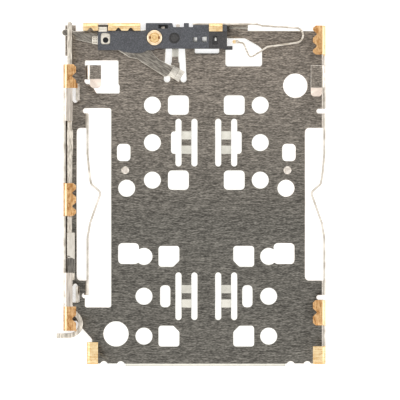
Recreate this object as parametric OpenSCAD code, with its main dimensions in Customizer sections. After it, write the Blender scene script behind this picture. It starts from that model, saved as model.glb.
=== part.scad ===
// Shell of a two-card tray reader, lying on the outer face of its plate with the soldering feet up.
// +Y is the rear and -Y the mouth where the tray enters. All sizes are in millimetres.

/* [Shell] */
// Width over the side walls
shell_w = 17.7; // [17:0.1:20]
// Length from the mouth lip to the back of the rear wall
shell_l = 23.2; // [22.6:0.1:26]
// Height from the outer face of the plate to the soldering face of the feet
height = 1.45; // [1.4:0.01:1.8]
// Thickness of the stamped sheet
sheet_t = 0.15; // [0.1:0.01:0.17]
// Inner radius of the bends
bend_r = 0.1; // [0.06:0.01:0.13]
// Depth of the coined lip along the mouth
lip_l = 0.16; // [0.1:0.01:0.25]

/* [Contact openings] */
// Distance from the middle of the shell to the centre line of the cards
card_x = 0.8; // [0.6:0.05:1]
// Centre of the rear group of openings
rear_y = 3.53; // [3.3:0.01:3.7]
// Row pitch of the rear group
rear_pitch = 2.54; // [2.4:0.01:2.7]
// Centre of the front group of openings
front_y = -6.87; // [-7:0.01:-6.7]
// Row pitch of the front group
front_pitch = 2.7; // [2.6:0.01:2.8]
// Diameter of the round openings
hole_d = 1.12; // [0.8:0.01:1.3]
// Distance from the card line to the round openings of the rear group
rear_hole_x = 3.65; // [3.4:0.01:3.8]
// Distance from the card line to the round openings of the front group
front_hole_x = 4.22; // [4.1:0.01:4.3]
// Distance from the card line to the outermost round openings
side_hole_x = 5.39; // [5.2:0.01:5.5]
// Distance from the card line to the square openings of the rear group
rear_square_x = 1.89; // [1.8:0.01:2]
// Distance from the card line to the square openings of the front group
front_square_x = 2.53; // [2.4:0.01:2.6]
// Side of the square openings
square_w = 1.38; // [1.2:0.01:1.5]
// Corner cut of the front squares
square_cut = 0.4; // [0.25:0.01:0.6]
// Corner radius of the openings
corner_r = 0.25; // [0.15:0.01:0.28]
// Diameter of the gauge opening at the rear right
rear_gauge_d = 1.62; // [1.2:0.01:1.8]
// Diameter of the gauge opening at the front left
front_gauge_d = 1.68; // [1.2:0.01:1.8]
// Diameter of the two dimples
dimple_d = 0.5; // [0.3:0.01:0.6]

/* [Pressure ribs] */
// Distance from the card line to the middle of a rib
rib_x = 1.345; // [1.3:0.005:1.4]
// Width of a rib
rib_w = 0.7; // [0.5:0.01:0.75]
// Length of a rib over its ramps
rib_l = 1.48; // [1.2:0.01:1.8]
// Length of the flat crest of a rib
rib_crest = 0.38; // [0.2:0.01:0.6]
// Height of the crest over the plate
rib_h = 0.32; // [0.15:0.01:0.45]
// Width of the slots beside a rib
slot_w = 0.38; // [0.25:0.01:0.42]
// Length of the slots beside a rib
slot_l = 3.2; // [2.6:0.01:3.4]

/* [Soldering feet] */
// Width of a side foot from the outer face of its wall
foot_w = 0.86; // [0.8:0.01:0.95]
// Width of a rear foot from the outer face of its wall
rear_foot_w = 0.53; // [0.45:0.01:0.6]
// Width of the plain flanges over the push rod
flange_w = 0.62; // [0.55:0.01:0.7]
// Depth of the scallops along the edge of a foot
scallop_d = 0.3; // [0.15:0.01:0.35]
// Width of those scallops
scallop_w = 0.52; // [0.3:0.01:0.6]
// Height of the plain side walls
wall_h = 1.25; // [1.1:0.01:1.3]

/* [Card springs] */
// Lower edge of the side springs over the outer face of the plate
spring_z = 0.4; // [0.3:0.01:0.45]
// Height of the side springs
spring_h = 0.65; // [0.5:0.01:0.75]
// How far a side spring reaches into the card channel
detent = 0.85; // [0.6:0.01:0.95]
// Length of a side spring between its roots
spring_l = 10.3; // [9.5:0.1:11]
// Length of each root of a side spring
root_l = 1; // [0.7:0.05:1.1]

/* [Card guides] */
// Distance from the rear of the shell to the card guides
guide_y = 2.85; // [2.75:0.01:3]
// Length of the flat part of the left card guide
guide_l = 0.95; // [0.7:0.01:1.2]
// Length of the flat part of the right card guide
right_guide_l = 1.53; // [1:0.01:1.6]
// Length of the lead-in ramp of a card guide
guide_lead = 0.6; // [0.3:0.01:0.7]
// Width of a card guide from the outer face of its wall
guide_w = 1; // [0.8:0.01:1.05]
// Clear height under a card guide
guide_gap = 0.95; // [0.85:0.01:1]

/* [Push rod] */
// Thickness of the rod in plan
rod_t = 0.31; // [0.25:0.01:0.33]
// Clearance between the rod and the side wall
rod_gap = 0.12; // [0.08:0.01:0.15]
// Clearance of the rod over the plate and under the flanges
rod_clear = 0.06; // [0.03:0.01:0.1]
// How far the rod reaches past the rear wall
rod_rear = 0.08; // [0:0.01:0.2]
// Radius of the curve that carries the push pad
rod_r = 0.81; // [0.75:0.01:0.85]
// How far the rod swings out in that curve
rod_swing = 0.74; // [0.68:0.01:0.78]
// Angle at which the rod turns into that curve
rod_turn = 50; // [45:1:55]
// How far the push pad reaches past the side wall
pad_out = 0.47; // [0.2:0.01:0.8]
// Gap between the push pad and the front foot over it
pad_gap = 0.19; // [0.1:0.01:0.3]
// How far the catches stand out from the rod
catch_w = 0.18; // [0.1:0.01:0.2]

/* [Ejector lever] */
// Distance from the rear of the shell to the pivot
pivot_y = 1; // [0.95:0.01:1.1]
// Distance from the middle of the shell to the pivot
pivot_x = 2.7; // [2.6:0.01:2.8]
// Thickness of the lever
lever_t = 0.2; // [0.15:0.01:0.22]
// Gap between the plate and the lever
lever_gap = 0.15; // [0.12:0.01:0.2]
// Radius of the hub
hub_r = 0.72; // [0.6:0.01:0.75]
// Radius of the rivet shank
shank_r = 0.3; // [0.2:0.01:0.33]
// Radius of the rivet head
head_r = 0.52; // [0.45:0.01:0.6]
// Height of the rivet head
head_h = 0.12; // [0.08:0.01:0.14]
// Radial clearance of the lever on the rivet
pivot_clear = 0.03; // [0.02:0.005:0.05]
// Width of the end of the ejecting arm
arm_w = 0.79; // [0.7:0.01:0.85]
// Length of the ejecting arm from the pivot
arm_l = 2.95; // [2.8:0.01:3]
// Distance from the pivot to the near edge of that end
arm_off = 0.87; // [0.84:0.01:0.9]
// Angle of the ejecting arm
arm_angle = 32; // [30:0.5:34]
// Height of the step at the end of the ejecting arm
arm_step = 0.35; // [0.2:0.01:0.45]
// Width of the nub that works the rod
nub_w = 0.44; // [0.35:0.01:0.5]
// How far the nub reaches past the rod
nub_out = 0.38; // [0.3:0.01:0.45]
// Distance from the pivot to the line of the nub
nub_y = 0.37; // [0.34:0.01:0.38]
// Clearance on each side of the nub in the rod
nub_clear = 0.13; // [0.11:0.01:0.16]

/* [Housing] */
// Distance from the pivot to the left end of the housing
housing_left = 3.83; // [3.75:0.01:3.9]
// Distance from the pivot to the right end of the housing
housing_right = 4.9; // [4.85:0.01:5]
// Distance from the rear of the shell to the front face of the housing
housing_w = 1.73; // [1.7:0.01:1.8]
// Clearance between the lever and the housing
lever_clear = 0.1; // [0.06:0.01:0.15]
// Thickness of the metal strips moulded into the housing
insert_t = 0.12; // [0.08:0.01:0.15]
// Radius of the gauge pit under the insert
pit_r = 0.19; // [0.12:0.01:0.22]

/* [Detect switch] */
// Thickness of the detect spring
detect_t = 0.12; // [0.08:0.01:0.13]
// Lower edge of the detect spring over the outer face of the plate
detect_z = 0.45; // [0.42:0.01:0.5]
// Height of the free part of the detect spring
detect_h = 0.6; // [0.5:0.01:0.7]
// Distance from the housing to the turn of the detect spring
detect_l = 5.13; // [5:0.01:5.4]
// Distance from the housing to the jog in its rear limb
jog_x = 2.05; // [1.9:0.01:2.2]
// Distance from the housing to the end of the straight part of its front limb
limb_x = 2.7; // [2.5:0.01:2.9]
// Distance from the housing to the bottom of its contact loop
dip_x = 1.55; // [1.45:0.01:1.65]
// Distance from the pivot line to the bottom of that loop
dip_y = 1.38; // [1.3:0.01:1.4]
// Distance from the housing to its contact end
tip_x = 0.38; // [0.36:0.01:0.5]
// Radius of that turn
turn_r = 0.5; // [0.4:0.01:0.51]
// Width of the soldering tail
tail_w = 0.91; // [0.7:0.01:1]

/* [Hidden] */
$fn = 40;
arc_n = 5;
steel = [0.5, 0.48, 0.45];
bright = [0.76, 0.74, 0.71];
pale = [0.85, 0.83, 0.78];
gold = [0.85, 0.64, 0.36];
black = [0.2, 0.2, 0.23];
lap = 0.1;
past = 1;

left = -shell_w / 2;
right = shell_w / 2;
rear = shell_l / 2;
mouth = -shell_l / 2;
mouth_edge = mouth + lip_l;
bend = bend_r + sheet_t;
mid = sheet_t / 2;
under_foot = height - sheet_t;

function unit(v) = v / norm(v);
function reversed(list) = [for (i = [len(list) - 1:-1:0]) list[i]];
function arc(o, r, from, turn, n = arc_n) =
    [for (i = [0:n]) o + r * [cos(from + turn * i / n), sin(from + turn * i / n)]];
// Arc of radius r that rounds the corner b between a and c.
function fillet(a, b, c, r, n = arc_n) =
    let (u = unit(a - b), v = unit(c - b), half = acos(u * v) / 2, o = b + unit(u + v) * r / sin(half),
        p = b + u * r / tan(half) - o, q = b + v * r / tan(half) - o, from = atan2(p.y, p.x))
    arc(o, r, from, (atan2(q.y, q.x) - from + 540) % 360 - 180, n);
// An open path with its inner corners rounded, and a closed outline with every corner rounded.
// The radius is one number, or one for each corner of an open path.
function rounded(path, r) = concat([path[0]],
    [for (i = [1:len(path) - 2]) each fillet(path[i - 1], path[i], path[i + 1], is_list(r) ? r[i - 1] : r)],
    [path[len(path) - 1]]);
function rounded_loop(path, r) = let (n = len(path))
    [for (i = [0:n - 1]) each fillet(path[(i + n - 1) % n], path[i], path[(i + 1) % n], r, arc_n - 1)];
function left_of(v) = unit([-v.y, v.x]);
// One side of a path, at the distance d.
function beside(path, d) = [for (i = [0:len(path) - 1])
    let (j = max(i, 1), k = min(i, len(path) - 2), before = left_of(path[j] - path[j - 1]),
        after = left_of(path[k + 1] - path[k]), m = unit(before + after)) path[i] + m * d / (m * after)];

module strip(path, t) polygon(concat(beside(path, t / 2), reversed(beside(path, -t / 2))));
module window(x0, x1, y0, y1, r = corner_r)
    polygon(rounded_loop([[x0, y0], [x1, y0], [x1, y1], [x0, y1]], r));
module box(x0, x1, y0, y1, z0, z1) translate([x0, y0, z0]) cube([x1 - x0, y1 - y0, z1 - z0]);
module slab(z0, z1) translate([0, 0, z0]) linear_extrude(z1 - z0) children();

// Each carries a section along one side, with its u running inwards from the outer face.
module along_left(x, y0, y1) translate([x, y1, 0]) rotate([90, 0, 0]) linear_extrude(y1 - y0) children();
module along_right(x, y0, y1) along_left(x, y0, y1) mirror([1, 0]) children();
module along_x(x0, x1, y = 0)
    translate([x0, y, 0]) rotate([90, 0, 90]) linear_extrude(x1 - x0) children();
module along_rear(y, x0, x1) along_x(x0, x1, y) mirror([1, 0]) children();

// Sections of a wall bent up from the plate, and of a wall with its top folded inwards.
module wall(h = wall_h) strip(rounded([[bend + lap, mid], [mid, mid], [mid, h]], bend_r + mid), sheet_t);
module folded(w, h = height) strip(rounded([[bend + lap, mid], [mid, mid], [mid, h - mid], [w, h - mid]],
    bend_r + mid), sheet_t);

module both_sides(y) for (s = [0, 1]) translate([card_x, y, 0]) mirror([s, 0, 0]) children();

// Pressure ribs: strips of the plate formed inwards between two slots.
rib_slots = [rib_x - (rib_w + slot_w) / 2, rib_x + (rib_w + slot_w) / 2];
module rib_opening() {
    for (x = rib_slots) {
        translate([x, 0]) square([slot_w, slot_l - slot_w], center = true);
        for (end = [-1, 1]) translate([x, end * (slot_l - slot_w) / 2]) circle(d = slot_w);
    }
    translate([rib_x, 0]) square([rib_w + slot_w / 2, rib_l], center = true);
}
module rib() along_x(rib_x - rib_w / 2, rib_x + rib_w / 2)
    strip([[-rib_l / 2 - lap, mid], [-rib_l / 2, mid], [-rib_crest / 2, rib_h + mid],
        [rib_crest / 2, rib_h + mid], [rib_l / 2, mid], [rib_l / 2 + lap, mid]], sheet_t);

module rear_group() {
    half_w = square_w / 2;
    half_l = half_w - 0.05;
    for (row = [-1:1]) translate([rear_hole_x, row * rear_pitch]) circle(d = hole_d);
    for (row = [-1, 1]) translate([rear_square_x, row * rear_pitch]) window(-half_w, half_w, -half_l, half_l);
    translate([side_hole_x, -rear_pitch - 0.55]) circle(d = hole_d);
    translate([side_hole_x + 0.2, -0.67]) window(-0.44, 0.44, -0.57, 0.57);
    rib_opening();
    translate([rib_slots[1], 0]) window(-slot_w / 2, slot_w / 2 + 0.3, -rib_l / 2, rib_l / 2, 0.17);
}

module front_group() {
    half = square_w / 2;
    cut = square_cut - half;
    for (row = [-1:1]) translate([front_hole_x, row * front_pitch]) circle(d = hole_d);
    for (row = [0, 1]) mirror([0, row]) translate([front_square_x, -front_pitch])
        polygon(rounded_loop([[-half, -cut], [-half, -half], [half, -half], [half, half],
            [cut, half]], 0.17));
    translate([front_hole_x + 1.04, front_pitch + 0.19]) window(-half, half, -half, half);
    translate([front_hole_x - 1.44, 0]) window(-0.33, 0.33, -0.73, 0.73);
    rib_opening();
}

// Side springs: strips on edge between two roots that are bent up from the plate.
spring_top = spring_z + spring_h;
spring_mid = -0.64;
spring_rear = spring_mid + spring_l / 2;
spring_front = spring_mid - spring_l / 2;
spring_roots = [[spring_rear, spring_rear + root_l], [spring_front - root_l, spring_front]];
left_spring_x = left + 1.7;
bump_y = 0.15;
function spring_path() = rounded([[0, spring_rear + lap], [0, bump_y + 2.6], [0.15, bump_y + 1.05],
    [0.25, bump_y + 0.57], [detent + 0.05, bump_y], [0.47, bump_y - 1.2], [0.16, bump_y - 2.1],
    [0, bump_y - 3.1], [0, spring_front - lap]], [1, 0.4, 0.3, 0.3, 0.6, 0.8, 1]);
module side_springs() {
    translate([left_spring_x - mid, 0]) slab(spring_z, spring_top) strip(spring_path(), sheet_t);
    translate([right - mid, 0]) mirror([1, 0, 0]) slab(spring_z, spring_top) strip(spring_path(), sheet_t);
    for (y = spring_roots) {
        along_right(left_spring_x, y[0], y[1]) wall(spring_top);
        along_right(right, y[0], y[1]) wall(spring_top);
    }
}

// Left side: three folded feet over the rod, with plain flanges beside the outer two.
foot_rear = [rear - 4.4, rear - 2.8];
flange_rear = [rear - 6.62, rear - 4.4];
foot_mid = [-1.42, 0.78];
flange_front = [mouth + 4.06, mouth + 6.34];
foot_front = [mouth + 2.42, mouth + 4.06];
module scallop() let (half = scallop_w / 2 * (1 + lap / scallop_d)) translate([0, 0, under_foot - mid])
    linear_extrude(past) polygon(rounded([[-lap, -half], [scallop_d, 0], [-lap, half]], 0.08));
module scallops(x, list, turn = 0) for (y = list) translate([x, y, 0]) rotate(turn) scallop();

// Guide walls of the rod, lanced from the plate under it.
rod_x = left + sheet_t + rod_gap + rod_t / 2;
lance_x = rod_x + rod_t / 2 + catch_w + 0.07;
lance_h = 1.1;
lances = [[rear - 5.22, rear - 4.07], [mouth + 4.32, mouth + 5.42]];

module left_side() {
    for (y = [[flange_front[1], foot_mid[0]], [foot_mid[1], flange_rear[0]]])
        along_left(left, y[0], y[1]) wall();
    for (y = [flange_rear, flange_front]) along_left(left, y[0], y[1]) folded(flange_w);
    difference() {
        for (y = [foot_rear, foot_mid, foot_front]) along_left(left, y[0], y[1]) folded(foot_w);
        scallops(left + foot_w, [foot_rear[1] + 0.1, foot_rear[1] - 0.8, foot_mid[1] + 0.1,
            foot_mid[1] - 0.66, foot_mid[0] + 0.64, foot_mid[0] - 0.1, foot_front[0] + 0.8], 180);
    }
    for (y = lances) along_left(lance_x, y[0], y[1]) wall(lance_h);
}

// Card guides: a flat part, then a ramp that opens towards the mouth.
guide_top = guide_gap + 2 * sheet_t;
guide_flat = [rear - guide_y - guide_l, rear - guide_y];
right_guide_flat = [guide_flat[1] - right_guide_l, guide_flat[1]];
guide_end = guide_flat[0] - guide_lead;
module guide_ramp(x0, x1, y) intersection() {
    along_x(x0, x1) strip([[y + lap, guide_top - mid], [y, guide_top - mid],
        [y - guide_lead, height - mid - 0.02]], sheet_t);
    slab(guide_gap, height) window(x0, x1, y - guide_lead, y + 0.4);
}
module left_guide() {
    along_left(left_spring_x - sheet_t, guide_flat[0], guide_flat[1])
        strip(rounded([[-bend - lap, mid], [mid, mid], [mid, guide_top - mid], [guide_w, guide_top - mid]],
            bend_r + mid), sheet_t);
    guide_ramp(left_spring_x + bend_r, left_spring_x - sheet_t + guide_w, guide_flat[0]);
}
module right_guide() {
    along_right(right, right_guide_flat[0], right_guide_flat[1]) folded(guide_w, guide_top);
    guide_ramp(right - guide_w, right - bend, right_guide_flat[0]);
}

right_feet = [[rear - 2.14, rear - 0.18], [mouth + 2.79, mouth + 4.49], [mouth_edge, mouth + 1.37]];
relief_l = 0.3;
module right_side() {
    for (y = [[right_feet[2][1], right_feet[1][0]], [spring_rear + root_l + relief_l, right_guide_flat[0]],
        [guide_flat[1], right_feet[0][0]]]) along_right(right, y[0], y[1]) wall();
    difference() {
        for (y = right_feet) along_right(right, y[0], y[1]) folded(foot_w);
        scallops(right - foot_w, [right_feet[0][1] + 0.1, right_feet[0][1] - 0.58, right_feet[0][1] - 1.38,
            right_feet[0][0] - 0.1, right_feet[1][1] + 0.1, right_feet[1][1] - 0.83, right_feet[1][0] - 0.1]);
    }
}

// Rear wall with two folded feet, and the low lip beside the switch.
rear_wall = [left + 1.33, left + 5.2];
rear_split = [left + 2.34, left + 3.02];
rear_lip = [2.13, 3.62];
front_foot_x = left + 1.58;
module rear_side() {
    along_rear(rear, rear_split[0], rear_split[1]) wall();
    difference() {
        for (x = [[rear_wall[0], rear_split[0]], [rear_split[1], rear_wall[1]]])
            along_rear(rear, x[0], x[1]) folded(rear_foot_w);
        for (x = [rear_wall[0] + 0.5, rear_split[1] + 0.7, rear_split[1] + 1.53])
            scallops(x, [rear - rear_foot_w - 0.06], 90);
    }
    along_rear(rear - 0.13, rear_lip[0], rear_lip[1]) wall(0.4);
    box(rear_lip[0], rear_lip[1], plate_rear - lap, rear - 0.13 - bend, 0, sheet_t);
    along_left(front_foot_x, mouth_edge, mouth + 1.65) folded(foot_w - 0.1);
}

// The mouth lip is coined thin as a lead-in for the tray.
module mouth_lip() along_x(left + 4.18, right - 2.69) polygon([[mouth_edge + lap, 0], [mouth, 0],
    [mouth, sheet_t / 3], [mouth_edge, sheet_t], [mouth_edge + lap, sheet_t]]);

plate_rear = rear - 0.51;
module plate_outline() polygon([
    [front_foot_x + bend, mouth_edge], [right - bend, mouth_edge], [right - bend, plate_rear],
    [rear_wall[1], plate_rear], [rear_wall[1], rear - bend], [rear_wall[0], rear - bend],
    [rear_wall[0], plate_rear], [left + 0.82, plate_rear], [left + 0.82, rear - 0.12],
    [left + 0.09, rear - 0.12], [left + 0.09, rear - 2.2], [left + 0.3, rear - 2.2],
    [left + 0.3, foot_rear[1]], [left + bend, foot_rear[1]], [left + bend, mouth + 3.05],
    [left + 0.88, mouth + 3.05], [left + 1.26, mouth + 2.54], [left + 1.9, mouth + 1.82],
    [left + 1.9, mouth + 1.65], [front_foot_x + bend, mouth + 1.65]]);

// Long opening that frees the left spring, and the one that frees the right spring.
big_x = left + 3.2;
module left_window() {
    edge = left_spring_x - bend;
    window(left + 0.89, big_x, spring_front, spring_rear);
    window(edge, big_x, spring_roots[1][0] - 0.82, spring_roots[0][1] + 0.34, 0.12);
    window(edge - 0.14, big_x, spring_roots[0][1], spring_roots[0][1] + 0.34, 0.16);
    translate([edge - 0.03, spring_roots[1][0] - 0.04]) circle(0.17);
}
module right_window() {
    window(right - 1.36, right + past, spring_front, spring_rear);
    for (y = [spring_roots[0][1], spring_roots[1][0] - relief_l])
        window(right - 0.58, right + past, y, y + relief_l, 0.13);
}

// Tongue that keeps the ejecting arm from rattling.
tongue_x = -1.3;
tongue_root = 7.82;
tongue_bend = 8.95;
tongue_tip = 10.02;
module tongue_slots() {
    for (s = [-1, 1]) {
        strip([[tongue_x + s * 0.43, tongue_tip], [tongue_x + s * 0.56, tongue_root]], 0.4);
        translate([tongue_x + s * 0.56, tongue_root]) circle(0.2);
    }
    translate([tongue_x - 0.62, tongue_bend]) square([1.24, tongue_tip + lap - tongue_bend]);
}
module tongue() along_x(tongue_x - 0.23, tongue_x + 0.23)
    strip([[tongue_bend - lap, mid], [tongue_bend, mid], [tongue_tip, mid + 0.16]], sheet_t);

// Opening that the left card guide was lanced from.
module guide_window() translate([left_spring_x - bend, guide_end - 0.35]) {
    top = guide_y + guide_flat[1] - rear + guide_l + guide_lead + 0.68;
    polygon(rounded_loop([[0, top], [2.24, top], [2.24, 0.62], [2.32, 0.54], [2.32, 0.02],
        [0.78, 0.02], [0.45, 0.58], [0, 0.7]], 0.07));
    translate([0.18, 0.86]) circle(0.22);
}
module switch_window() polygon(rounded_loop([[2.11, rear - 2.9], [4.56, rear - 2.9], [4.56, rear - 1.75],
    [4.3, rear - 1.52], [3.42, rear - 1.02], [2.11, rear - 1.02]], 0.17));

pivot = [-pivot_x, rear - pivot_y];
module plate() {
    slab(0, sheet_t) difference() {
        plate_outline();
        both_sides(rear_y) rear_group();
        both_sides(front_y) front_group();
        translate([right - 2.03, rear - 4.22]) circle(d = rear_gauge_d);
        translate([left + 3.54, mouth + 2.18]) circle(d = front_gauge_d);
        left_window();
        right_window();
        tongue_slots();
        guide_window();
        switch_window();
        window(0.03, 1.66, rear - 2.02, rear - 1.65, 0.1);
        for (y = lances) window(left + 0.34, lance_x + bend, y[0], y[1], 0.02);
        for (y = [lances[0][0], lances[1][1]]) translate([lance_x - 0.05, y]) circle(0.15);
        for (x = [left + 2.72, left + 3.86, right - 2.34, right - 1.22])
            translate([x, mouth_edge - 0.1]) circle(0.26);
        translate(pivot) circle(shank_r);
    }
    for (s = [-1, 1]) translate([card_x + s * 5.49, rear_y - 1.87, sheet_t - 0.01])
        cylinder(d1 = dimple_d, d2 = dimple_d - 0.1, h = 0.06);
}

module shell() color(steel) {
    plate();
    mouth_lip();
    left_side();
    right_side();
    rear_side();
    left_guide();
    right_guide();
    side_springs();
    tongue();
    both_sides(rear_y) rib();
    both_sides(front_y) rib();
}

// The pieces round the pivot are drawn from the pivot.
lever_bot = sheet_t + lever_gap;
lever_top = lever_bot + lever_t;
roof = lever_top + lever_clear;
rear_face = pivot_y - 0.01;
leg_face = pivot_y - bend - 0.02;
front_face = pivot_y - housing_w;
strip_y = pivot_y - 0.02 - detect_t / 2;

// Metal strip moulded into the left end of the housing.
insert_top = under_foot - 0.1;
pit = [-3.3, -0.16];
module insert_loop() window(pit.x - 0.32, pit.x + 0.32, -0.46, 0.32, 0.16);
module insert_plan() {
    window(-housing_left - 0.38, pit.x, -0.43, 0.08, 0.06);
    insert_loop();
    window(pit.x - 0.5, pit.x + 0.1, -0.1, leg_face, 0.03);
}
module insert_body() slab(insert_top - insert_t, insert_top) insert_plan();

// Fixed contact of the switch: a flat strip with three cut carrier tabs.
contact_top = 0.92;
module contact_body() slab(contact_top - insert_t, contact_top) {
    translate([0.43, 0.42]) square([3.07, 0.2]);
    for (tab = [[0.43, 0.27, 0.78], [1.44, 0.27, 0.92], [3.07, 0.4, 0.83]])
        translate([tab[0], 0.5]) square([tab[1], tab[2] - 0.5]);
    translate([2.5, -0.35]) square([1.7, 0.9]);
    translate([4, -0.35]) square([housing_right - 3.96, 0.35]);
}

module housing() color(black) translate(pivot) difference() {
    union() {
        box(-housing_left, 0, front_face - 0.1, 0.45, roof, under_foot);
        slab(roof, under_foot) polygon([[-2.5, front_face - 0.05], [-2.1, front_face - 0.22],
            [-1.5, front_face - 0.3], [-0.85, front_face - 0.29], [-0.36, front_face - 0.05]]);
        box(-3.2, -1.3, 0.4, leg_face, roof, under_foot - 0.1);
        box(-3.2, -1.3, 0.58, leg_face, sheet_t, roof + lap);
        box(-0.59, housing_right, front_face, rear_face, sheet_t, under_foot);
        box(housing_right - lap, housing_right + 0.37, front_face - 0.07, front_face + 0.17, sheet_t, 1.1);
    }
    // room for the hub and the arms of the lever
    slab(0, roof) circle(hub_r + lever_clear);
    box(-past, 0.4, front_face - past, -0.3, 0, roof);
    box(1.02, 1.78, front_face - past, front_face + 0.34, 0, roof);
    translate([0, 0, -past]) cylinder(r = shank_r + pivot_clear, h = height + past);
    // notches along the rear edge, and the seat of the detect spring
    slab(0, height) polygon([[1.17, rear_face + lap], [1.28, 0.72], [1.98, 0.72], [1.98, rear_face + lap]]);
    box(2.32, 2.6, 0.72, past, 0, height);
    box(2.5, housing_right + lap, strip_y - detect_t / 2, past, 0, height);
    // pockets that show the fixed contact, and a step over its end
    for (x = [[0.26, 0.9, 0.62, 0.86], [2.58, 2.87, -0.3, 0.03], [3.2, 3.53, -0.3, 0.07],
        [4.07, 4.2, -0.22, 0.03]])
        box(x[0], x[1], x[2], x[3], contact_top - insert_t, height);
    box(3.92, 4.25, -0.46, 0.12, under_foot - 0.3, height);
    box(3.68, housing_right + lap, front_face - lap, 0.42, under_foot - 0.06, height);
    translate([1.34, -0.03, under_foot - 0.1]) difference() {
        cylinder(r = 0.37, h = past);
        translate([0, 0, -lap]) cylinder(r = 0.24, h = lap + 0.08);
    }
    // seat of the insert, open over its loop and its rear end, with a pit under the hole in it
    insert_body();
    slab(insert_top - 0.01, height) {
        insert_loop();
        window(pit.x - 0.5, pit.x + 0.1, 0.4, past, 0.03);
    }
    translate([pit.x, pit.y, roof + 0.08]) cylinder(r = pit_r, h = height);
    contact_body();
}

module housing_insert() color(bright) translate(pivot) difference() {
    insert_body();
    translate([pit.x, pit.y, 0]) cylinder(r = pit_r, h = height);
}

module fixed_contact() color(bright) translate(pivot) contact_body();

// Detect spring: a strip on edge from the rear of the housing round to its contact end.
turn_x = housing_right + detect_l;
function detect_path() = rounded([[housing_right - 2.34, strip_y], [housing_right + jog_x, strip_y],
    [housing_right + jog_x + 0.33, strip_y - 0.11], [turn_x, strip_y - 0.26], [turn_x, strip_y - 1.18],
    [housing_right + limb_x, -0.62], [housing_right + dip_x, -dip_y],
    [housing_right + dip_x - 0.45, -0.35], [housing_right + tip_x, -0.24]],
    [0.3, 0.3, turn_r, turn_r, 0.6, 0.22, 0.22]);
module detect_spring() color(bright) translate(pivot) {
    slab(detect_z, detect_z + detect_h) {
        strip(detect_path(), detect_t);
        translate([housing_right + tip_x, 0]) window(-0.01, 0.44, -0.38, -0.16, 0.08);
    }
    along_x(3.68, 3.68 + tail_w) strip(rounded([[strip_y, detect_z + lap], [strip_y, height - detect_t / 2],
        [0.42, height - detect_t / 2]], 0.1 + detect_t / 2), detect_t);
}

// Ejector lever: a flat bell crank whose left arm carries the nub and whose right arm pushes the tray.
rod_from_pivot = rod_x - pivot.x;
nub_end = rod_from_pivot - rod_t / 2 - nub_out;
neck = rod_from_pivot + rod_t / 2 + 0.11;
arm_flat = arm_l - 0.79;
function on_arm(s, w) = [s * cos(arm_angle) - w * sin(arm_angle), -s * sin(arm_angle) - w * cos(arm_angle)];
module ejector_lever() color(pale) translate(pivot) difference() {
    union() {
        slab(lever_bot, lever_top) {
            circle(hub_r);
            translate([nub_end + nub_w / 2, nub_y]) circle(nub_w / 2);
            polygon([[nub_end + nub_w / 2, nub_y - nub_w / 2], [neck - 0.05, nub_y - nub_w / 2],
                [neck, -0.09], [-4.25, -0.35], [-2.48, -0.83], [-1.67, -1.33], [-1.16, -1.42], [-0.86, -1.64],
                on_arm(arm_flat - 0.16, arm_off + arm_w + 0.2), on_arm(arm_flat, arm_off + arm_w),
                on_arm(arm_flat, arm_off), on_arm(arm_flat - 0.34, arm_off + 0.13), [0.36, -1.48],
                [-0.04, -1.14], [-0.28, -0.78], [0, -hub_r + 0.02], [0, hub_r - 0.02], [-1.2, 0.44],
                [-3.3, 0.44], [-3.84, 0.5], [neck, 0.46],
                [neck - 0.2, nub_y + nub_w / 2], [nub_end + nub_w / 2, nub_y + nub_w / 2]]);
        }
        rotate(-arm_angle) along_left(0, -arm_off - arm_w, -arm_off)
            strip([[arm_flat - lap, lever_bot + lever_t / 2], [arm_flat, lever_bot + lever_t / 2],
                [arm_flat + 0.46, lever_bot + lever_t / 2 + arm_step],
                [arm_l, lever_bot + lever_t / 2 + arm_step]], lever_t);
    }
    cylinder(r = shank_r + pivot_clear, h = height);
}

// Stepped rivet: its shoulder carries the lever over the plate and its head holds the housing.
module pivot_rivet() color(gold) translate(pivot) rotate_extrude() polygon([[0, 0], [shank_r, 0],
    [shank_r, sheet_t], [shank_r + 0.16, sheet_t], [shank_r + 0.16, lever_bot - 0.02],
    [shank_r, lever_bot - 0.02], [shank_r, under_foot], [head_r, under_foot],
    [head_r, under_foot + head_h - 0.04], [head_r - 0.04, under_foot + head_h],
    [0.36, under_foot + head_h], [0.33, under_foot + head_h - 0.03], [0, under_foot + head_h - 0.03]]);

// Push rod: a strip on edge that ends in a curve and the push pad.
rod_bot = sheet_t + rod_clear;
rod_top = under_foot - rod_clear;
pad_y = foot_front[0] - pad_gap - rod_t / 2;
curve = [rod_x + rod_swing - rod_r, pad_y + rod_r];
entry_r = (curve.x - rod_x + rod_r * cos(rod_turn)) / (1 - cos(rod_turn));
entry = [rod_x + entry_r, curve.y + (rod_r + entry_r) * sin(rod_turn)];
function after_first(list) = [for (i = [1:len(list) - 1]) list[i]];
function rod_path() = concat([[rod_x, rear + rod_rear - rod_t / 2]], arc(entry, entry_r, 180, rod_turn),
    after_first(arc(curve, rod_r, rod_turn, -90 - rod_turn, 2 * arc_n)), [[left - pad_out, pad_y]]);
module catch(y0, y1, w) along_x(rod_x - rod_t / 2 - 0.01, rod_x + rod_t / 2 + w)
    polygon([[y1, rod_top - 0.3], [y1, rod_top + 0.02], [(y0 + y1) / 2, rod_top + 0.02],
        [y0, rod_top - 0.3]]);
module push_rod() color(pale) difference() {
    union() {
        slab(rod_bot, rod_top) {
            strip(rod_path(), rod_t);
            translate([rod_x, rear + rod_rear - rod_t / 2]) circle(rod_t / 2);
        }
        catch(rear - 8.98, rear - 7.2, catch_w / 3);
        catch(mouth + 5.83, mouth + 9.04, catch_w);
    }
    translate([0, pivot.y + nub_y, 0]) box(rod_x - past, rod_x + past, -nub_w / 2 - nub_clear,
        nub_w / 2 + nub_clear, 0, lever_top + rod_clear);
}

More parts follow.
